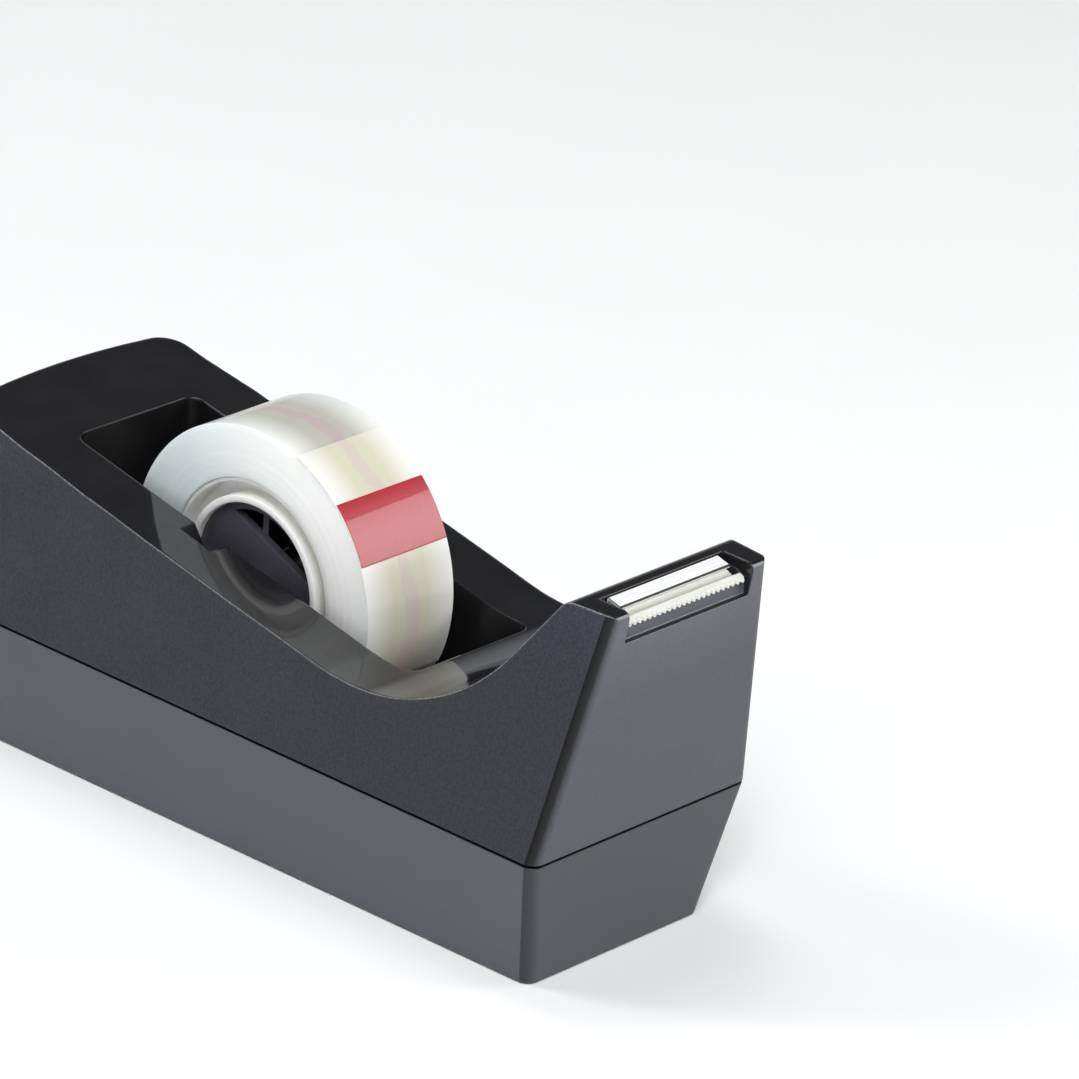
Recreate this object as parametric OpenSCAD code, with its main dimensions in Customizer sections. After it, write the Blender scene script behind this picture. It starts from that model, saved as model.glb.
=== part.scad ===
// Weighted desk tape dispenser. A moulded upper housing stands on a lower tray, a
// serrated cutter is fixed on its nose, and a roll of tape turns on a hub whose axle
// drops into two slanted slots in the sides of the well.
// X is the width, Y runs from the cutter at -Y to the back at +Y, and Z is up.
// The origin is the middle of the outline, on the surface that the object stands on.

/* [Body] */
// Width at the front of the seam between the two housings
body_w = 48.8; // [48:0.2:52]
// Length at the seam
body_l = 132.7; // [131:0.1:136]
// Height of the seam
seam_z = 22.6; // [22:0.1:23]
// Height of the cheeks beside the cutter
top_z = 64; // [63:0.1:66]
// Height of the deck at its back edge
deck_back_z = 55.2; // [54:0.1:56]
// Width of the underside at the front
foot_w = 39.2; // [38.4:0.2:42]
// Wall thickness of both housings
wall = 2.4; // [2.2:0.1:2.8]

/* [Well] */
// Width of the well that the roll sits in
well_w = 26.6; // [26:0.2:28]
// Distance from the front of the seam to the well
well_front = 36.5; // [36:0.5:38]
// Length of the well
well_l = 75; // [74:0.5:76]
// Height of the well's floor
well_floor = 9.4; // [9:0.1:10]

/* [Roll] */
// Width of the tape
tape_w = 19; // [18:0.5:19]
// Diameter of a full roll
roll_d = 51; // [40:0.2:51]
// Bore of the tape core
core_bore = 25.4; // [25.2:0.1:26]
// Diameter of the hub axle
axle_d = 4; // [3.8:0.1:4.2]
// Distance from the front of the seam to the hub
hub_y = 75.4; // [75:0.2:76]
// Height of the hub
hub_z = 38.4; // [38:0.1:38.8]

/* [Cutter] */
// Width of the row of teeth
teeth_w = 26.2; // [24:0.2:26.4]
// Number of teeth
teeth_n = 24; // [18:1:28]
// Thickness of the blade and of the landing strip
sheet_t = 0.5; // [0.4:0.05:0.6]

/* [Hidden] */
$fn = 72;

// Distances along the body are counted from the front of the seam.
// Slopes of the outer faces, in mm of travel for each mm of height
flank_draft = 0.154;
front_lean = 0.148;
back_draft = 0.132;
// Growth of the half width for each mm along the body, at the seam and underneath
flank_taper = 0.022;
foot_taper = 0.0275;
// Outward bulge of each flank half way along it, for each mm above the seam
flank_bulge = 0.057;
flank_steps = 8;
front_r = 2.2;
corner_min = 0.4;
back_r = 4.5;
back_bow = 1.2;
foot_set = 3.3;
seam_gap = 0.5;
tongue_h = 2.2;
tongue_play = 0.1;
rebate = 1.2;
arc_step = 5;

// Deck: a straight slope, a round swoop, a steep rise and the flat top of the cheeks
deck_a = 11.23;
swoop_r = 35;
swoop_y = 39.2;
steep_a = 54.8;
top_front_r = 1.2;
top_back_r = 2.5;

// Nose between the cheeks
nose_w = 27.6;
nose_floor_z = top_z - 10;
nose_l = 28;
shelf_z = top_z - 1.8;
shelf_back = 0.3;
shelf_front = -2.5;
blade_a = 24.5;
blade_seat_y = -4;
pocket_z = top_z - 5.3;
pocket_y = -4.4;
strip_w = 24.4;
strip_leg = 2;
strip_back_z = top_z - 0.15;
leaf_neck = 22.8;
leaf_step = 1.35;
tooth_root = 2.2;
tooth_tip = 2.95;

// Well, roll, hub and slots
well_r = 2.5;
tub_wall = 2;
slot_a = 35.8;
slot_w = axle_d + 0.8;
slot_depth = 3.3;
slot_wall = 1.9;
core_rim_r = core_bore / 2 + 1.2;
core_r = 16.8;
core_shell = 0.7;
core_w = tape_w - 0.6;
core_web = 12;
hub_r = core_bore / 2 - 0.04;
hub_w = 16;
hub_plate = 1.6;
hub_shell = 1.3;
hub_tube_r = 3.8;
axle_play = 0.07;
window_rise = 7;
window_a = 22.4;
film_t = 0.15;
lead_start = 19;
lead_arc = 95;
tab_start = 42.2;
tab_arc = 23.3;

// Base, weights, screws and pad
base_lift = 0.4;
pad_t = 1.4;
pad_inset = 3.8;
floor_z = 3.4;
post_inset = 7.2;
post_r = 3.2;
tray_post_r = 4.2;
post_split_z = 18;
screw_front = 11.5;
screw_back = body_l - 13.5;
// Opposite corners of the two weights, and the height of their lower and upper blocks
front_weight_box = [[-17, 16.4], [17, 33.2]];
front_weight_h = [22, 7];
rear_weight_box = [[-8.5, 115.8], [8.5, 126.2]];
rear_weight_h = [36, 5];
weight_step = 2;
fence_t = 1.2;
fence_l = 5;
fence_h = 4;
screw_head_z = 7.6;
screw_head_r = 2.8;
screw_head_h = 2;
screw_r = 1.5;
screw_pitch = 1.2;
screw_tip_z = 29;
pilot_r = 1.25;

function half_w(y, z) = body_w / 2 + flank_taper * y - flank_draft * (z - seam_z)
    + flank_bulge * max(0, z - seam_z) * 4 * y * (body_l - y) / pow(body_l, 2);
function half_foot(y) = foot_w / 2 + foot_taper * y;
function front_y(z) = -front_lean * (z - seam_z);
function back_y(z) = body_l - back_draft * (z - seam_z);
function foot_mix(z, foot, seam) = foot + (seam - foot) * (z - base_lift) / (seam_z - base_lift);
function arc(cx, cy, r, a0, a1, step = arc_step) =
    [for (i = [0:max(1, round(abs(a1 - a0) / step))])
        let (a = a0 + (a1 - a0) * i / max(1, round(abs(a1 - a0) / step)))
        [cx + r * cos(a), cy + r * sin(a)]];

// Outline of a housing from above, drawn inside by inset: round corners, flanks that
// spread towards the back, and a slightly bowed back. flank lists half widths along it.
function outline(flank, front, back, inset) =
    let (n = len(flank) - 1,
        rf = max(corner_min, front_r - inset),
        yf = front + inset + rf,
        xb = flank[n] - back_r, yb = back - back_bow - back_r,
        side = [for (i = [1:n - 1]) [flank[i] - inset, yf + (yb - yf) * i / n]],
        half = concat(
            arc(flank[0] - inset - rf, yf, rf, -90, 0, 9), side,
            arc(xb, yb, back_r - inset, 0, 80),
            [for (k = [0.9:-0.1:0.1]) [xb * k, back - inset - back_bow * k * k]]))
    concat(half, [[0, back - inset]], [for (i = [len(half) - 1:-1:0]) [-half[i].x, half[i].y]]);
function upper_outline(z, inset) = let (l = back_y(z) - front_y(z))
    outline([for (i = [0:flank_steps]) half_w(front_y(z) + l * i / flank_steps, z)],
        front_y(z), back_y(z), inset);
function base_outline(z, inset) =
    outline([for (i = [0:flank_steps]) let (y = body_l * i / flank_steps)
            foot_mix(z, half_foot(y), half_w(y, seam_z))],
        foot_mix(z, foot_set, 0), foot_mix(z, body_l - foot_set, body_l), inset);

// Side outline of the top, from the nose to the back, sunk by drop
swoop_z = deck_back_z - tan(deck_a) * (back_y(deck_back_z) - swoop_y) + swoop_r / cos(deck_a);
nose_y = front_y(top_z - top_front_r) + top_front_r * sqrt(1 + front_lean * front_lean);
rise_y = swoop_y - swoop_r * sin(steep_a);
rise_z = swoop_z - swoop_r * cos(steep_a);
crest_y = rise_y - (top_z - rise_z) / tan(steep_a) - top_back_r * tan(steep_a / 2);
front_reach = top_front_r - nose_y;
mid_y = (body_l - front_reach) / 2;
function top_line(drop) = concat(
    arc(nose_y, top_z - top_front_r, top_front_r - drop, 180 + atan(front_lean), 90, 9),
    arc(crest_y, top_z - top_back_r, top_back_r - drop, 90, 90 - steep_a, 9),
    arc(swoop_y, swoop_z, swoop_r + drop, 270 - steep_a, 270 + deck_a, 2.5),
    [[body_l + 10, deck_z(body_l + 10) - drop / cos(deck_a)]]);
function deck_z(y) = deck_back_z + tan(deck_a) * (y - back_y(deck_back_z));

// Solid between two outlines with the same number of points
module loft(low, z_low, high, z_high) {
    n = len(low);
    polyhedron(
        points = concat([for (p = low) [p.x, p.y, z_low]], [for (p = high) [p.x, p.y, z_high]]),
        faces = concat(
            [[for (i = [0:n - 1]) i]],
            [[for (i = [0:n - 1]) 2 * n - 1 - i]],
            [for (i = [0:n - 1]) [i, n + i, n + (i + 1) % n]],
            [for (i = [0:n - 1]) [i, n + (i + 1) % n, (i + 1) % n]]));
}

// Moves a piece from distances along the body to the part's own origin
module in_frame() translate([0, -mid_y, 0]) children();

// Extrudes an outline of Y and Z symmetrically across the width
module across(w) rotate([90, 0, 90]) linear_extrude(w, center = true) children();

module upper_loft(inset, z_low, z_high)
    loft(upper_outline(z_low, inset), z_low, upper_outline(z_high, inset), z_high);

module base_loft(inset, z_low, z_high)
    loft(base_outline(z_low, inset), z_low, base_outline(z_high, inset), z_high);

module below_top(drop, w = 70)
    across(w) polygon(concat([[body_l + 10, 0], [-20, 0], [-20, top_line(drop)[0].y]], top_line(drop)));

module upper_form() intersection() {
    upper_loft(0, seam_z + seam_gap / 2, top_z + 2);
    below_top(0);
}

module upper_cavity() {
    intersection() {
        upper_loft(wall, seam_z - 1, top_z);
        below_top(wall);
    }
    upper_loft(rebate, seam_z - 1, seam_z + tongue_h);
}

// Plain box with round upright corners, as large as the well or larger by grow
module well_box(grow, z_low, z_high) {
    r = well_r + grow;
    x = well_w / 2 + grow - r;
    y0 = well_front - grow + r;
    y1 = well_front + well_l + grow - r;
    translate([0, 0, z_low]) linear_extrude(z_high - z_low) polygon(concat(
        arc(x, y0, r, -90, 0, 10), arc(x, y1, r, 0, 90, 10),
        arc(-x, y1, r, 90, 180, 10), arc(-x, y0, r, 180, 270, 10)));
}

// Solid on both sides of the well that the axle slots are cut into
module slot_block() translate([-well_w / 2 - slot_depth - slot_wall, hub_y - 7, hub_z - 6])
    cube([well_w + 2 * (slot_depth + slot_wall), 22, 40]);

// Two slanted slots with round lower ends, cut in one go across the well
module slot_void() {
    reach = well_w / 2 + slot_depth;
    translate([0, hub_y, hub_z]) rotate([-slot_a, 0, 0]) {
        rotate([0, 90, 0]) cylinder(d = slot_w, h = 2 * reach, center = true);
        translate([-reach, -slot_w / 2, 0]) cube([2 * reach, slot_w, 30]);
    }
}

module nose_block() intersection() {
    upper_form();
    translate([-body_w, 8 - nose_l, nose_floor_z]) cube([2 * body_w, nose_l, 20]);
}

// Clears the shelf for the blade and the pocket under its teeth
module nose_void() across(nose_w) polygon([
    [shelf_back, top_z + 5],
    [shelf_back, shelf_z],
    [shelf_front, shelf_z],
    [blade_seat_y, shelf_z + (blade_seat_y - shelf_front) * tan(blade_a)],
    [pocket_y, pocket_z],
    [pocket_y - 8, pocket_z],
    [pocket_y - 8, top_z + 5]]);

// Groove behind the shelf for the leg of the landing strip
module landing_slot() translate([-strip_w / 2 - 0.1, shelf_back - 0.7, shelf_z - strip_leg])
    cube([strip_w + 0.2, 0.7, strip_leg + 1]);

module at_posts() for (side = [-1, 1], y = [screw_front, screw_back])
    translate([side * (half_foot(y) - post_inset), y, 0]) children();

module upper_housing() in_frame() color([0.27, 0.28, 0.3]) difference() {
    union() {
        difference() {
            upper_form();
            upper_cavity();
        }
        nose_block();
        intersection() {
            below_top(0);
            union() {
                well_box(tub_wall, well_floor - tub_wall, top_z);
                slot_block();
            }
        }
        intersection() {
            below_top(0.5);
            at_posts() translate([0, 0, post_split_z]) cylinder(r = post_r, h = 40);
        }
    }
    well_box(0, well_floor, top_z + 10);
    slot_void();
    nose_void();
    landing_slot();
    at_posts() translate([0, 0, post_split_z - 1]) cylinder(r = pilot_r, h = screw_tip_z - post_split_z + 3);
}

module base_shell() in_frame() color([0.38, 0.39, 0.42]) difference() {
    union() {
        difference() {
            base_loft(0, base_lift, seam_z - seam_gap / 2);
            base_loft(wall, floor_z, seam_z + 1);
        }
        // Tongue that locates the upper housing
        difference() {
            upper_loft(rebate + tongue_play, seam_z - 1, seam_z + tongue_h);
            upper_loft(wall, seam_z - 2, seam_z + tongue_h + 1);
        }
        at_posts() translate([0, 0, floor_z - 1]) cylinder(r = tray_post_r, h = post_split_z - floor_z + 1);
        weight_fence(front_weight_box);
        weight_fence(rear_weight_box);
    }
    translate([0, 0, base_lift - 1]) linear_extrude(pad_t - base_lift + 1)
        polygon(base_outline(base_lift, pad_inset - 0.2));
    at_posts() {
        cylinder(r = screw_head_r + 0.2, h = screw_head_z);
        cylinder(r = screw_r + 0.2, h = post_split_z + 1);
    }
}

// Low corner ribs on the floor that keep a weight in place
module weight_fence(box)
    for (x = [box[0].x - fence_t - 0.1, box[1].x + 0.1], y = [box[0].y, box[1].y - fence_l])
        translate([x, y, floor_z - 0.5]) cube([fence_t, fence_l, fence_h]);

// Iron block on the floor with a smaller block cast on top
module weight(box, h) color([0.33, 0.33, 0.34]) {
    w = box[1].x - box[0].x;
    l = box[1].y - box[0].y;
    translate([box[0].x, box[0].y, floor_z]) {
        cube([w, l, h[0]]);
        translate([weight_step, 0, h[0] - 1]) cube([w - 2 * weight_step, l - weight_step, h[1] + 1]);
    }
}

module front_weight() in_frame() weight(front_weight_box, front_weight_h);

module rear_weight() in_frame() weight(rear_weight_box, rear_weight_h);

// Self-tapping screw, head down, with a cross recess and separate thread rings
module housing_screw() {
    turns = floor((screw_tip_z - post_split_z) / screw_pitch);
    root_r = pilot_r - 0.2;
    difference() {
        union() {
            translate([0, 0, screw_head_z - screw_head_h]) cylinder(r = screw_head_r, h = screw_head_h);
            translate([0, 0, screw_head_z - 0.1])
                cylinder(r = screw_r, h = post_split_z - screw_head_z + 0.1);
            rotate_extrude($fn = 32) polygon(concat(
                [[0, post_split_z - 0.1], [root_r, post_split_z - 0.1]],
                [for (i = [0:turns - 1]) let (z = post_split_z + screw_pitch * i)
                    each [[root_r, z + 0.2], [screw_r - 0.02, z + 0.6], [root_r, z + 1]]],
                [[0, screw_tip_z]]));
        }
        for (a = [0, 90])
            rotate([0, 0, a]) translate([-1.8, -0.35, screw_head_z - screw_head_h - 0.5])
                cube([3.6, 0.7, 1.6]);
    }
}

module housing_screws() in_frame() color("silver") at_posts() housing_screw();

module grip_pad() in_frame() color([0.08, 0.08, 0.08]) linear_extrude(pad_t)
    polygon(base_outline(base_lift, pad_inset));

// Bright springy strip that the tape lies on. It rises to the rim behind it, where its leg
// is pressed into the nose.
module landing_strip() in_frame() color([0.9, 0.9, 0.9]) {
    leg_back = shelf_back - 0.1;
    leg_front = leg_back - sheet_t;
    across(strip_w) polygon([
        [shelf_front - 0.2, shelf_z + sheet_t],
        [leg_front, strip_back_z - 1.15 * sheet_t],
        [leg_front, shelf_z - strip_leg],
        [leg_back, shelf_z - strip_leg],
        [leg_back, strip_back_z - 0.25],
        [leg_back - 0.25, strip_back_z],
        [shelf_front - 0.05, shelf_z + 2 * sheet_t],
        [shelf_front - 0.2, shelf_z + 2 * sheet_t - 0.15]]);
}

// The blade: a flat tail under the strip, a narrow neck that slopes down, a wide row of teeth
module blade_neck() across(leaf_neck) polygon([
    [shelf_back - 0.2 - sheet_t, shelf_z],
    [shelf_back - 0.2 - sheet_t, shelf_z + sheet_t],
    [shelf_front - sheet_t * tan(blade_a / 2), shelf_z + sheet_t],
    [shelf_front - leaf_step * cos(blade_a) - sheet_t * sin(blade_a),
        shelf_z - leaf_step * sin(blade_a) + sheet_t * cos(blade_a)],
    [shelf_front - leaf_step * cos(blade_a), shelf_z - leaf_step * sin(blade_a)],
    [shelf_front, shelf_z]]);

module blade_teeth() {
    pitch = teeth_w / teeth_n;
    translate([0, shelf_front, shelf_z]) rotate([blade_a, 0, 0]) linear_extrude(sheet_t) polygon(concat(
        [[teeth_w / 2, -leaf_step], [-teeth_w / 2, -leaf_step]],
        [for (i = [0:teeth_n - 1]) each [[pitch * i - teeth_w / 2, -tooth_root],
            [pitch * (i + 0.5) - teeth_w / 2, -tooth_tip]]],
        [[teeth_w / 2, -tooth_root]]));
}

module cutter_blade() in_frame() color([0.8, 0.8, 0.78]) {
    blade_neck();
    blade_teeth();
}

// Puts children on the hub's axis, with their own Z along +X
module on_hub() in_frame() translate([0, hub_y, hub_z]) rotate([0, 90, 0]) children();

module hub_axle() on_hub() color([0.16, 0.16, 0.18]) {
    reach = well_w / 2 + slot_depth - 0.3;
    cylinder(d = axle_d, h = 2 * reach - 1, center = true);
    for (side = [0, 180])
        rotate([side, 0, 0]) translate([0, 0, reach - 0.6]) cylinder(d1 = axle_d, d2 = axle_d - 1, h = 0.6);
}

// Window cut from an end plate, above a chord that leans towards the front
module hub_window(h) rotate([0, 0, 180 + window_a]) translate([window_rise, -20, 0]) cube([20, 40, h]);

module hub_spool() on_hub() color([0.16, 0.16, 0.18]) difference() {
    union() {
        difference() {
            cylinder(r = hub_r, h = hub_w, center = true);
            translate([0, 0, -hub_w / 2 - 1]) cylinder(r = hub_r - hub_shell, h = hub_w + 2);
        }
        difference() {
            translate([0, 0, -hub_w / 2]) cylinder(r = hub_r - hub_shell / 2, h = hub_plate);
            translate([0, 0, -hub_w / 2 - 1]) hub_window(hub_plate + 2);
        }
        translate([0, 0, -hub_w / 2]) cylinder(r = hub_tube_r, h = hub_w - hub_plate);
        for (a = [60, 180, 300])
            rotate([0, 0, a]) translate([hub_tube_r - 0.5, -0.6, -hub_w / 2 + hub_plate - 0.1])
                cube([hub_r - hub_tube_r - 0.3, 1.2, 5]);
    }
    cylinder(d = axle_d + 2 * axle_play, h = hub_w + 4, center = true);
}

module hub_cap() on_hub() color([0.16, 0.16, 0.18]) translate([0, 0, hub_w / 2 - hub_plate]) difference() {
    union() {
        cylinder(r = hub_r - hub_shell - 0.05, h = hub_plate);
        translate([0, 0, -2]) cylinder(r = hub_r - hub_shell - 0.05, h = 2.5);
    }
    translate([0, 0, -3]) cylinder(r = hub_r - hub_shell - 1.2, h = 3);
    translate([0, 0, -4]) cylinder(d = axle_d + 2 * axle_play, h = 8);
    translate([0, 0, -1]) hub_window(hub_plate + 2);
}

// Core of the roll: two rings joined by a web
module tape_core() on_hub() color([0.93, 0.93, 0.9]) difference() {
    cylinder(r = core_r, h = core_w, center = true);
    cylinder(d = core_bore, h = core_w + 2, center = true);
    for (side = [0, 180])
        rotate([side, 0, 0]) translate([0, 0, core_web / 2]) difference() {
            cylinder(r = core_r - core_shell, h = core_w);
            translate([0, 0, -1]) cylinder(r = core_rim_r, h = core_w + 2);
        }
}

module tape_winding() on_hub() color([0.9, 0.91, 0.88]) difference() {
    cylinder(d = roll_d, h = tape_w, center = true, $fn = 144);
    cylinder(r = core_r, h = tape_w + 2, center = true);
}

// Part of a thin film wrapped on the roll, from an angle counted from the top to the front
module film(r, w, start, sweep) on_hub() rotate([0, 0, 180 + start])
    translate([0, 0, -w / 2]) rotate_extrude(angle = sweep, $fn = 144)
        translate([r, 0]) square([film_t, w]);

module tape_lead() color([0.92, 0.93, 0.9]) film(roll_d / 2, tape_w, lead_start, lead_arc);

module lead_tab() color([0.75, 0.2, 0.2]) film(roll_d / 2 + film_t, tape_w - 0.2, tab_start, tab_arc);

upper_housing();
base_shell();
front_weight();
rear_weight();
housing_screws();
grip_pad();
landing_strip();
cutter_blade();
hub_axle();
hub_spool();
hub_cap();
tape_core();
tape_winding();
tape_lead();
lead_tab();
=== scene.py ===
"""Looks of the desk tape dispenser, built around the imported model. Units are metres."""

import bisect
import math

import bmesh
import bpy
from mathutils import Matrix, Vector


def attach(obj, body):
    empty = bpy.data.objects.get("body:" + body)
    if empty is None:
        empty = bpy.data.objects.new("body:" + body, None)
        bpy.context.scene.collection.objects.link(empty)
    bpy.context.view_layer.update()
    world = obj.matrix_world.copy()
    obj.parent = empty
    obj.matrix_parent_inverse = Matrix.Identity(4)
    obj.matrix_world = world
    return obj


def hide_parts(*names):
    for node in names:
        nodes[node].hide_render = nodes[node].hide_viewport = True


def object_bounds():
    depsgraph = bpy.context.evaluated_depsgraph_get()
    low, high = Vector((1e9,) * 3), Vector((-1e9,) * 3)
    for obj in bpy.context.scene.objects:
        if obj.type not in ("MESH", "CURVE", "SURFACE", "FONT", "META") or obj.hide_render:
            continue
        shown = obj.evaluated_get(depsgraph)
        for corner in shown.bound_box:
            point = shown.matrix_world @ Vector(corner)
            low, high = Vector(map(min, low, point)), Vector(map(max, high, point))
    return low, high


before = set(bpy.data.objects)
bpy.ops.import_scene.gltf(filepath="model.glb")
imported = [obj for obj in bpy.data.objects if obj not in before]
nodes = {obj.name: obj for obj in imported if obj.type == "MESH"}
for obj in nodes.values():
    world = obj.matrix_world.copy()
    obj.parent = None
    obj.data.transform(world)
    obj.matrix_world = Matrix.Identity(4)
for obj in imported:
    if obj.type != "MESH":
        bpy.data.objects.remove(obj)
cad_low, cad_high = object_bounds()
MM = 0.001

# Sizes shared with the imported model
HUB_Y, HUB_Z = 12.018 * MM, 38.4 * MM
TAPE_W = 19 * MM
ROLL_R = 25.5 * MM
CORE_R = 16.8 * MM
CORE_BORE_R = 12.7 * MM
CORE_SHELL = 0.7 * MM
CORE_LIP = 1.2 * MM
CORE_HALF_WEB = 6 * MM
FILM = 0.15 * MM
LEAD_START, LEAD_SWEEP = 19, 95  # degrees from the top of the roll towards the front
TAB_START, TAB_SWEEP = 42.2, 23.3
HALF_WELL = 13.3 * MM
SLOT_END = HALF_WELL + 3.4 * MM
SEAM_TOP = 22.3 * MM
NOSE_HALF = 13.8 * MM
NOSE_BACK = cad_low.y + 9.5 * MM
WELL_FLOOR = cad_low.z + 9 * MM
POCKET_FLOOR = cad_low.z + 61 * MM

# Rounding of the housing's corners, in the shading only
EDGE_RADIUS = 0.6 * MM

# ---------------------------------------------------------------- camera
VIEW_AZIMUTH = math.radians(-48.963)
VIEW_ELEVATION = math.radians(24.0)
VIEW_ROLL = math.radians(4.38)
VIEW_DISTANCE = 1.2
VIEW_AIM = Vector((0.06027, 0.01386, 0.0254))
LENS_MM = 246.24


def make_camera():
    back = Vector((
        math.sin(VIEW_AZIMUTH) * math.cos(VIEW_ELEVATION),
        -math.cos(VIEW_AZIMUTH) * math.cos(VIEW_ELEVATION),
        math.sin(VIEW_ELEVATION)))
    level = Vector((math.cos(VIEW_AZIMUTH), math.sin(VIEW_AZIMUTH), 0))
    upright = back.cross(level)
    right = level * math.cos(VIEW_ROLL) + upright * math.sin(VIEW_ROLL)
    up = back.cross(right)
    turn = Matrix((right, up, back)).transposed().to_4x4()
    data = bpy.data.cameras.new("camera")
    data.lens = LENS_MM
    data.sensor_width = 36
    data.clip_start = 0.1
    data.clip_end = 50
    camera = bpy.data.objects.new("camera", data)
    camera.matrix_world = Matrix.Translation(VIEW_AIM + back * VIEW_DISTANCE) @ turn
    bpy.context.scene.collection.objects.link(camera)
    bpy.context.scene.camera = camera


make_camera()


# ---------------------------------------------------------------- light
def area_light(name, place, aim, size, power, colour=(1, 1, 1)):
    data = bpy.data.lights.new(name, "AREA")
    data.shape = "RECTANGLE"
    data.size, data.size_y = size
    data.energy = power
    data.color = colour
    lamp = bpy.data.objects.new(name, data)
    lamp.location = place
    lamp.rotation_euler = (Vector(aim) - Vector(place)).to_track_quat("-Z", "Y").to_euler()
    bpy.context.scene.collection.objects.link(lamp)


def make_world():
    """Soft light from all round, dimmer above, so that the polished deck mirrors the dim part."""
    world = bpy.data.worlds.new("studio")
    bpy.context.scene.world = world
    world.use_nodes = True
    tree = world.node_tree
    background = tree.nodes["Background"]
    place = tree.nodes.new("ShaderNodeTexCoord")
    split = tree.nodes.new("ShaderNodeSeparateXYZ")
    ramp = tree.nodes.new("ShaderNodeValToRGB")
    ramp.color_ramp.elements[0].position = 0.18
    ramp.color_ramp.elements[0].color = (0.9, 0.95, 1, 1)
    ramp.color_ramp.elements[1].position = 0.36
    ramp.color_ramp.elements[1].color = (0.1, 0.105, 0.11, 1)
    tree.links.new(place.outputs["Generated"], split.inputs[0])
    tree.links.new(split.outputs["Z"], ramp.inputs[0])
    tree.links.new(ramp.outputs[0], background.inputs[0])
    background.inputs[1].default_value = 0.5


make_world()
area_light("key", (-0.55, -0.75, 1.15), (0, 0, 0.03), (0.7, 0.5), 14.5, (0.97, 0.985, 1))
area_light("fill", (0.95, -0.8, 0.55), (0, -0.03, 0.03), (0.7, 0.6), 6, (1, 0.985, 0.96))
area_light("side", (-1.0, -0.35, 0.4), (0, 0.01, 0.04), (0.5, 0.5), 1.0)
area_light("top", (0.1, 0.3, 1.4), (0, 0, 0), (0.6, 0.6), 5)
area_light("edge", (-0.7, 0.85, 0.75), (0, 0, 0.04), (0.35, 1.1), 7)
bpy.context.scene.view_settings.view_transform = "Standard"


# ---------------------------------------------------------------- material helpers
class Shader:
    """A node material with short names for the nodes that it is built from."""

    def __init__(self, name, **values):
        self.material = bpy.data.materials.new(name)
        self.material.use_nodes = True
        self.tree = self.material.node_tree
        self.surface = self.tree.nodes["Principled BSDF"]
        for socket, value in values.items():
            self.surface.inputs[socket.replace("_", " ")].default_value = value
        self.place = self.node("ShaderNodeTexCoord").outputs["Object"]

    def node(self, kind, **settings):
        made = self.tree.nodes.new(kind)
        for key, value in settings.items():
            setattr(made, key, value)
        return made

    def link(self, output, socket):
        if isinstance(output, (int, float)):
            socket.default_value = output
        else:
            self.tree.links.new(output, socket)

    def math(self, operation, a, b=0.0):
        made = self.node("ShaderNodeMath", operation=operation)
        self.link(a, made.inputs[0])
        self.link(b, made.inputs[1])
        return made.outputs[0]

    def noise(self, per_mm, detail=3.0, roughness=0.5, place=None):
        made = self.node("ShaderNodeTexNoise")
        self.tree.links.new(place or self.place, made.inputs["Vector"])
        made.inputs["Scale"].default_value = per_mm / MM
        made.inputs["Detail"].default_value = detail
        made.inputs["Roughness"].default_value = roughness
        return made.outputs["Fac"]

    def ramp(self, value, stops):
        made = self.node("ShaderNodeValToRGB")
        elements = made.color_ramp.elements
        while len(elements) < len(stops):
            elements.new(0.5)
        for element, (position, colour) in zip(elements, stops):
            element.position = position
            element.color = (*colour, 1)
        self.tree.links.new(value, made.inputs[0])
        return made.outputs[0]

    def between(self, value, low, high):
        """Maps the texture's 0 to 1 onto low to high."""
        made = self.node("ShaderNodeMapRange")
        self.tree.links.new(value, made.inputs[0])
        made.inputs["To Min"].default_value = low
        made.inputs["To Max"].default_value = high
        return made.outputs[0]

    def milky(self, weight, depth):
        """Light that enters, scatters over about the given depth, and leaves again."""
        self.surface.inputs["Subsurface Weight"].default_value = weight
        self.surface.inputs["Subsurface Scale"].default_value = depth
        self.surface.inputs["Subsurface Radius"].default_value = (1, 0.93, 0.85)

    def tinted(self, colour, factor):
        """A colour made lighter or darker by a factor."""
        made = self.node("ShaderNodeVectorMath", operation="SCALE")
        self.tree.links.new(colour, made.inputs[0])
        self.tree.links.new(factor, made.inputs["Scale"])
        return made.outputs[0]

    def step(self, value, low, high):
        """0 up to low and 1 from high."""
        made = self.node("ShaderNodeMapRange")
        self.tree.links.new(value, made.inputs[0])
        made.inputs["From Min"].default_value = low
        made.inputs["From Max"].default_value = high
        return made.outputs[0]

    def mix(self, factor, first, second):
        """From the first colour at 0 to the second at 1. Either is an output or a plain colour."""
        made = self.node("ShaderNodeMix", data_type="RGBA")
        self.tree.links.new(factor, made.inputs[0])
        for colour, socket in ((first, made.inputs[6]), (second, made.inputs[7])):
            if isinstance(colour, tuple):
                socket.default_value = (*colour, 1)
            else:
                self.tree.links.new(colour, socket)
        return made.outputs[2]

    def rounded_normal(self):
        """The direction that the surface faces, as if its corners were rounded."""
        made = self.node("ShaderNodeBevel", samples=8)
        made.inputs["Radius"].default_value = EDGE_RADIUS
        return made.outputs[0]

    def bump(self, height, depth_mm, rounded=False):
        """Relief from a texture. Rounded corners catch the light."""
        made = self.node("ShaderNodeBump")
        made.inputs["Distance"].default_value = depth_mm * MM
        if rounded:
            self.tree.links.new(self.rounded_normal(), made.inputs["Normal"])
        self.tree.links.new(height, made.inputs["Height"])
        self.tree.links.new(made.outputs[0], self.surface.inputs["Normal"])
        return made

    def set(self, socket, output):
        self.tree.links.new(output, self.surface.inputs[socket])


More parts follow.
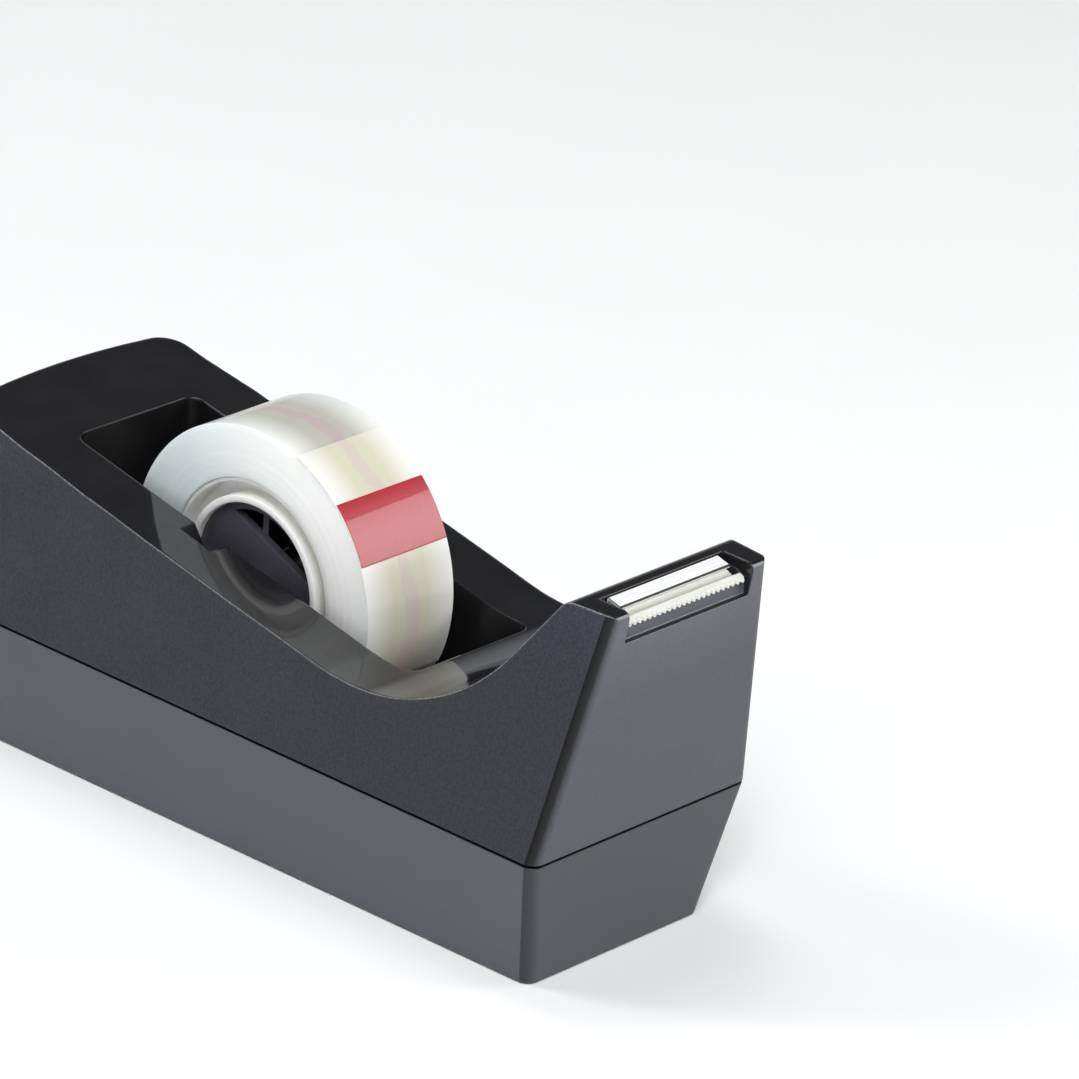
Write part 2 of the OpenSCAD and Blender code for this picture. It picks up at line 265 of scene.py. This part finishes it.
def grained_plastic(name, flank, corner, front, grain_per_mm, contrast, depth_mm, painted_top_light=1.0, painted_edge_highlight=None):
    """Moulded plastic with a spark-eroded grain. The front is smoother than the flanks, and its
    different colour is partly painted light; the dark round corner between them is painted shade,
    the lighter cheek tops are painted light, and an edge colour paints a thin highlight along the upper
    edges."""
    s = Shader(name)
    facing = s.node("ShaderNodeSeparateXYZ")
    s.tree.links.new(s.node("ShaderNodeTexCoord").outputs["Normal"], facing.inputs[0])
    height = s.node("ShaderNodeSeparateXYZ")
    s.tree.links.new(s.place, height.inputs[0])
    to_front = s.math("MULTIPLY", facing.outputs["Y"], -1.0)
    # Painted light and shade by the way a face points: a dark band on the round corner, and a front
    # colour apart from the flank's.
    facing_light_and_shade = s.ramp(to_front, [(0.15, flank), (0.2, corner), (0.72, corner), (0.995, front)])
    # Painted highlight: a lighter colour where the rounded normal turns upward, along the upper edges.
    if painted_edge_highlight:
        upward = s.node("ShaderNodeSeparateXYZ")
        s.tree.links.new(s.rounded_normal(), upward.inputs[0])
        facing_light_and_shade = s.mix(s.step(upward.outputs["Z"], 0.3, 0.5), facing_light_and_shade, painted_edge_highlight)
    fine = s.noise(grain_per_mm, 4, 0.65)
    broad = s.noise(0.08, 2)
    mixed = s.math("ADD", s.math("MULTIPLY", fine, 0.85), s.math("MULTIPLY", broad, 0.15))
    speckle = s.math("MULTIPLY", s.math("SUBTRACT", mixed, 0.5), s.between(to_front, contrast, 0.8))
    # Painted light: the colour grows lighter from 48 mm up to 64 mm high, for the cheek tops.
    painted_top_light_gain = s.between(s.step(height.outputs["Z"], 48 * MM, 64 * MM), 1.0, painted_top_light)
    s.set("Base Color", s.tinted(facing_light_and_shade, s.math("MULTIPLY", painted_top_light_gain, s.math("ADD", speckle, 1.0))))
    s.set("Roughness", s.between(fine, 0.4, 0.56))
    # Less specular on the round corner, as part of its painted shade.
    shine = s.ramp(to_front, [(0.15, [0.44] * 3), (0.2, [0.15] * 3), (0.97, [0.5] * 3)])
    s.set("Specular IOR Level", shine)
    s.bump(fine, depth_mm, rounded=True)
    return s.material


def polished_plastic(name, dark, light, rough):
    """Polished black plastic with faint haze and flow marks."""
    s = Shader(name)
    haze = s.noise(0.12, 3)
    s.set("Base Color", s.ramp(haze, [(0.3, dark), (0.7, light)]))
    s.set("Roughness", s.between(s.noise(1.5, 4), rough - 0.03, rough + 0.05))
    s.bump(s.noise(0.5, 2), 0.004, rounded=True)
    return s.material


def metal(name, tint, rough, scratch_per_mm, metallic):
    """Rolled steel, with fine lines along the strip."""
    s = Shader(name, Metallic=metallic)
    mapping = s.node("ShaderNodeMapping")
    s.tree.links.new(s.place, mapping.inputs[0])
    mapping.inputs["Scale"].default_value = (0.04, 1, 1)
    lines = s.noise(scratch_per_mm, 3, 0.6, mapping.outputs[0])
    s.set("Base Color", s.ramp(lines, [(0.3, [0.82 * c for c in tint]), (0.7, tint)]))
    s.set("Roughness", s.between(lines, rough, rough + 0.15))
    s.bump(lines, 0.003)
    return s.material


def tape_material(name, tread, side, stripe, milky):
    """Wound clear film: rings of slightly uneven film on the sides, with painted light that makes them
    darker and cooler at the back and lighter and warmer in front, and on the tread a faint stripe that
    wanders about the middle of the width."""
    s = Shader(name, Coat_Weight=0.25, Coat_Roughness=0.15, IOR=1.47)
    s.milky(milky, 3 * MM)
    split = s.node("ShaderNodeSeparateXYZ")
    s.tree.links.new(s.place, split.inputs[0])
    x = split.outputs["X"]
    y = s.math("SUBTRACT", split.outputs["Y"], HUB_Y)
    z = s.math("SUBTRACT", split.outputs["Z"], HUB_Z)
    radius = s.math("SQRT", s.math("ADD", s.math("MULTIPLY", y, y), s.math("MULTIPLY", z, z)))
    along_radius = s.node("ShaderNodeCombineXYZ")
    s.tree.links.new(radius, along_radius.inputs[0])
    rings = s.noise(0.9, 5, 0.6, along_radius.outputs[0])
    wander = s.between(s.noise(0.07, 2), -4 * MM, 4 * MM)
    ragged = s.between(s.noise(0.5, 2), -1.1 * MM, 1.1 * MM)
    off = s.math("ADD", s.math("ABSOLUTE", s.math("ADD", x, wander)), ragged)
    around = s.ramp(s.step(off, 0.9 * MM, 1.7 * MM), [(0.0, stripe), (1.0, tread)])
    # Painted light on the sides: lighter and warmer in front, darker and cooler at the back.
    side_painted_light = s.ramp(s.step(y, -12 * MM, 14 * MM), [(0.0, side[0]), (1.0, side[1])])
    wound = s.tinted(side_painted_light, s.between(rings, 0.93, 1.06))
    from_middle = s.math("ABSOLUTE", x)
    near_edge = s.step(from_middle, TAPE_W / 2 - 6 * MM, TAPE_W / 2)
    on_side = s.step(from_middle, TAPE_W / 2 - 0.25 * MM, TAPE_W / 2)
    s.set("Base Color", s.mix(near_edge, around, wound))
    s.set("Roughness", s.between(rings, 0.22, 0.32))
    s.bump(s.math("MULTIPLY", rings, on_side), 0.02)
    return s.material


def plain_noise(name, dark, light, per_mm, rough, depth_mm, milky=0.0, **values):
    s = Shader(name, **values)
    if milky:
        s.milky(milky, 2 * MM)
    fine = s.noise(per_mm, 3)
    s.set("Base Color", s.ramp(fine, [(0.3, dark), (0.7, light)]))
    s.set("Roughness", s.between(fine, rough - 0.05, rough + 0.08))
    s.bump(fine, depth_mm)
    return s.material


# In both, the corner colour is painted shade and the front colour is partly painted light; the upper
# housing also gets painted light on its cheek tops and a painted highlight on its upper edges.
side_grain = grained_plastic(
    "side_grain", flank=(0.012, 0.0135, 0.02), corner=(0.004, 0.004, 0.005),
    front=(0.07, 0.074, 0.086), grain_per_mm=2.2, contrast=4.5, depth_mm=0.07,
    painted_top_light=1.6, painted_edge_highlight=(0.16, 0.165, 0.17))
base_satin = grained_plastic(
    "base_satin", flank=(0.071, 0.076, 0.087), corner=(0.036, 0.039, 0.045),
    front=(0.057, 0.06, 0.069), grain_per_mm=7, contrast=1.2, depth_mm=0.01)
deck_gloss = polished_plastic("deck_gloss", (0.013, 0.013, 0.015), (0.018, 0.018, 0.02), rough=0.07)
# Near-black painted shade for the well, the axle slots, the hub's inside, the seam and the strip's
# edges.
painted_shade_black = polished_plastic("painted_shade_black", (0.005, 0.005, 0.006), (0.009, 0.009, 0.01), rough=0.3)
# The strip and blade are near-white and barely metallic: their brightness is a painted reflection in
# place of mirror steel.
strip_steel = metal("strip_steel", (0.98, 0.98, 0.97), rough=0.35, scratch_per_mm=4, metallic=0.1)
blade_steel = metal("blade_steel", (0.93, 0.93, 0.86), rough=0.35, scratch_per_mm=6, metallic=0.15)
screw_steel = metal("screw_steel", (0.6, 0.6, 0.6), rough=0.3, scratch_per_mm=6, metallic=1.0)
hub_black = plain_noise(
    "hub_black", (0.055, 0.053, 0.066), (0.072, 0.068, 0.083), per_mm=1.5, rough=0.4, depth_mm=0.01)
core_white = plain_noise(
    "core_white", (0.88, 0.87, 0.82), (0.93, 0.92, 0.88), per_mm=1, rough=0.4, depth_mm=0.01,
    milky=0.8)
iron = plain_noise(
    "iron", (0.05, 0.05, 0.052), (0.12, 0.12, 0.12), per_mm=2, rough=0.7, depth_mm=0.1)
foam = plain_noise(
    "foam", (0.01, 0.01, 0.01), (0.03, 0.03, 0.03), per_mm=4, rough=0.85, depth_mm=0.1)
tab_red = plain_noise(
    "tab_red", (0.4, 0.02, 0.03), (0.48, 0.03, 0.045), per_mm=3, rough=0.3, depth_mm=0.003,
    Coat_Weight=0.5)
# Painted light and shade on the roll's sides, in front and at the back.
SIDE_FRONT_LIT, SIDE_BACK_SHADED = (0.94, 0.94, 0.9), (0.74, 0.8, 0.8)
wound_tape = tape_material(
    "wound_tape", (0.53, 0.52, 0.455), (SIDE_FRONT_LIT, SIDE_BACK_SHADED), stripe=(0.55, 0.45, 0.44), milky=0.6)
free_tape = tape_material(
    "free_tape", (0.68, 0.655, 0.52), (SIDE_FRONT_LIT, SIDE_BACK_SHADED), stripe=(0.68, 0.585, 0.53), milky=0.0)


# ---------------------------------------------------------------- mesh helpers
def set_material(obj, *materials):
    obj.data.materials.clear()
    for material in materials:
        obj.data.materials.append(material)


def piece_from_cad(name, node, body):
    """A clean copy of a CAD node: shared corners, and one face for each flat area."""
    mesh = bmesh.new()
    mesh.from_mesh(nodes[node].data)
    bmesh.ops.remove_doubles(mesh, verts=mesh.verts, dist=1e-6)
    bmesh.ops.dissolve_limit(
        mesh, angle_limit=math.radians(0.4), verts=mesh.verts, edges=mesh.edges)
    data = bpy.data.meshes.new(name)
    mesh.to_mesh(data)
    mesh.free()
    piece = bpy.data.objects.new(name, data)
    bpy.context.scene.collection.objects.link(piece)
    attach(piece, body)
    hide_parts(node)
    return piece


def smooth_faces(obj, special, angle=28):
    """Smooth shading, except across sharp edges. A corner's normal is the mean of the faces round it
    by area, or what special(face, point) returns, unless that is None."""
    mesh = obj.data
    limit = math.cos(math.radians(angle))
    around = [[] for _ in mesh.vertices]
    for face in mesh.polygons:
        face.use_smooth = True
        for corner in face.vertices:
            around[corner].append(face)
    normals = []
    for face in mesh.polygons:
        for corner in face.vertices:
            near = [other for other in around[corner] if other.normal.dot(face.normal) > limit]
            mean = sum((other.normal * other.area for other in near), Vector()).normalized()
            normals.append(special(face, mesh.vertices[corner].co) or mean)
    mesh.normals_split_custom_set(normals)


def round_edges(obj, width, segments=3, angle=28, material=-1):
    for polygon in obj.data.polygons:
        polygon.use_smooth = True
    bevel = obj.modifiers.new("edges", "BEVEL")
    bevel.width = width
    bevel.segments = segments
    bevel.limit_method = "ANGLE"
    bevel.angle_limit = math.radians(angle)
    bevel.material = material
    bevel.miter_outer = "MITER_ARC"
    normals = obj.modifiers.new("normals", "WEIGHTED_NORMAL")
    normals.keep_sharp = True


def add_piece(name, body, verts, faces):
    """A new piece from a list of points and a list of faces."""
    data = bpy.data.meshes.new(name)
    data.from_pydata(verts, [], faces)
    data.update()
    piece = bpy.data.objects.new(name, data)
    bpy.context.scene.collection.objects.link(piece)
    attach(piece, body)
    return piece


def about_hub(x, r, angle):
    """Point at a radius from the hub's axis. The angle goes from the top towards the front."""
    return (x, HUB_Y - r * math.sin(angle), HUB_Z + r * math.cos(angle))


def lathe(name, profile, steps=192):
    """Ring on the hub's axis from a closed outline of (x, r) points."""
    n = len(profile)
    verts = [about_hub(x, r, 2 * math.pi * i / steps) for i in range(steps) for x, r in profile]
    faces = [(i * n + k, i * n + (k + 1) % n, (i + 1) % steps * n + (k + 1) % n, (i + 1) % steps * n + k)
             for i in range(steps) for k in range(n)]
    return add_piece(name, "roll", verts, faces)


def film_lap(name, r, width, start, sweep, steps=96):
    """Part of a lap of film, from start degrees on from the top, over sweep degrees."""
    w, under, over = width / 2, r + 0.02 * MM, r + FILM
    ring = [(-w, under), (w, under), (w, over), (-w, over)]
    verts = [about_hub(x, q, math.radians(start + sweep * i / steps))
             for i in range(steps + 1) for x, q in ring]
    faces = [(4 * i + k, 4 * i + (k + 1) % 4, 4 * i + 4 + (k + 1) % 4, 4 * i + 4 + k)
             for i in range(steps) for k in range(4)]
    last = 4 * steps
    faces += [(3, 2, 1, 0), (last, last + 1, last + 2, last + 3)]
    return add_piece(name, "roll", verts, faces)


# ---------------------------------------------------------------- housings
SIDES, TOP, PAINTED_SHADE = 0, 1, 2


def paint_housing(piece):
    """Grain on the sides, polish on the top, and near-black painted shade inside the well and the axle
    slots and on faces that point down.
    """
    for face in piece.data.polygons:
        n, c = face.normal, face.center
        in_nose = abs(c.x) < NOSE_HALF + 0.1 * MM and c.z > POCKET_FLOOR and abs(n.z) < 0.9
        at_axle = math.hypot(c.y - HUB_Y, c.z - HUB_Z) < 4 * MM
        in_slot = HALF_WELL < abs(c.x) < SLOT_END and (n.y < -0.7 or at_axle)
        about_well = cad_low.y + 40 * MM < c.y < cad_high.y - 15 * MM
        if n.z > 0.45 and not in_slot or in_nose:
            face.material_index = TOP
        elif n.z < -0.9 or abs(c.x) < SLOT_END and about_well and c.z > WELL_FLOOR:
            face.material_index = PAINTED_SHADE
        else:
            face.material_index = SIDES


def deck_shading(mesh):
    """The deck bends only along Y, so its normals follow Y alone and its mirror images stay clean."""
    def on_deck(face):
        return face.material_index == TOP and face.center.y > NOSE_BACK

    spans = []
    bends = set()
    for face in filter(on_deck, mesh.polygons):
        points = [mesh.vertices[corner].co for corner in face.vertices]
        spans.append((min(p.y for p in points), max(p.y for p in points), face.normal * face.area))
        bends.update(round(p.y, 5) for p in points if abs(p.x) > HALF_WELL + 4.5 * MM)
    bends = sorted(bends)
    slack = 0.02 * MM
    normals = []
    for y in bends:
        touching = (normal for low, high, normal in spans if low - slack < y < high + slack)
        normals.append(sum(touching, Vector()).normalized())

    def shading(face, point):
        if not on_deck(face):
            return None
        after = min(max(bisect.bisect(bends, point.y), 1), len(bends) - 1)
        share = (point.y - bends[after - 1]) / (bends[after] - bends[after - 1])
        return normals[after - 1].lerp(normals[after], min(max(share, 0), 1)).normalized()

    return shading


housing = piece_from_cad("upper_housing_shell", "upper_housing", "root")
set_material(housing, side_grain, deck_gloss, painted_shade_black)
paint_housing(housing)
smooth_faces(housing, deck_shading(housing.data))

tray = piece_from_cad("base_tray", "base_shell", "root")
set_material(tray, base_satin, painted_shade_black)
# Painted shade: the tray's faces above the seam are near-black, so the seam reads as a dark gap.
for face in tray.data.polygons:
    face.material_index = 1 if face.center.z > cad_low.z + SEAM_TOP else 0
round_edges(tray, 0.35 * MM)

strip = piece_from_cad("landing_plate", "landing_strip", "root")
set_material(strip, strip_steel, painted_shade_black)
round_edges(strip, 0.15 * MM, material=1)  # its bevelled edges are painted dark: a painted shadow in the gap between strip and blade

blade = piece_from_cad("serrated_blade", "cutter_blade", "root")
set_material(blade, blade_steel)

# ---------------------------------------------------------------- roll and hub
hub = piece_from_cad("hub_reel", "hub_spool", "roll")
set_material(hub, hub_black, painted_shade_black)
# Painted shade: the hub's faces beyond its near end plate, seen through its window, are near-black.
for face in hub.data.polygons:
    face.material_index = 0 if face.center.x < -6 * MM else 1
round_edges(hub, 0.25 * MM)


def make_core():
    """Two white rings joined by a web in the middle of the width."""
    w, web = TAPE_W / 2 - 0.3 * MM, CORE_HALF_WEB
    lip, shell = CORE_BORE_R + CORE_LIP, CORE_R - CORE_SHELL
    near = [(-w, CORE_BORE_R), (-w, lip), (-web, lip), (-web, shell), (-w, shell), (-w, CORE_R)]
    far = [(-x, r) for x, r in reversed(near)]
    core = lathe("core_ring", near + far)
    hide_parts("tape_core")
    set_material(core, core_white)
    round_edges(core, 0.2 * MM)


def make_winding():
    w = TAPE_W / 2
    inner = CORE_R + 0.02 * MM
    winding = lathe("winding", [(-w, inner), (-w, ROLL_R), (w, ROLL_R), (w, inner)], 288)
    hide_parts("tape_winding")
    set_material(winding, wound_tape)
    round_edges(winding, 0.2 * MM)


def make_laps():
    lead = film_lap("free_end", ROLL_R, TAPE_W, LEAD_START, LEAD_SWEEP)
    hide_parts("tape_lead")
    set_material(lead, free_tape)
    tab = film_lap("starter_tab", ROLL_R + FILM, TAPE_W - 0.2 * MM, TAB_START, TAB_SWEEP, 32)
    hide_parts("lead_tab")
    set_material(tab, tab_red)
    for lap in (lead, tab):
        round_edges(lap, 0.02 * MM, 1, 60)


make_core()
make_winding()
make_laps()

# ---------------------------------------------------------------- carried-over nodes
for node, material in {
        "front_weight": iron, "rear_weight": iron, "housing_screws": screw_steel, "grip_pad": foam,
        "hub_axle": hub_black, "hub_cap": hub_black}.items():
    set_material(nodes[node], material)


# ---------------------------------------------------------------- floor
def make_floor():
    bpy.ops.mesh.primitive_plane_add(size=12, location=(0, 0, cad_low.z))
    floor = bpy.context.object
    floor.name = "floor"
    s = Shader("floor_white", Roughness=0.8)
    s.set("Base Color", s.ramp(s.noise(0.02, 2), [(0.3, [0.955] * 3), (0.7, [0.97] * 3)]))
    set_material(floor, s.material)


make_floor()
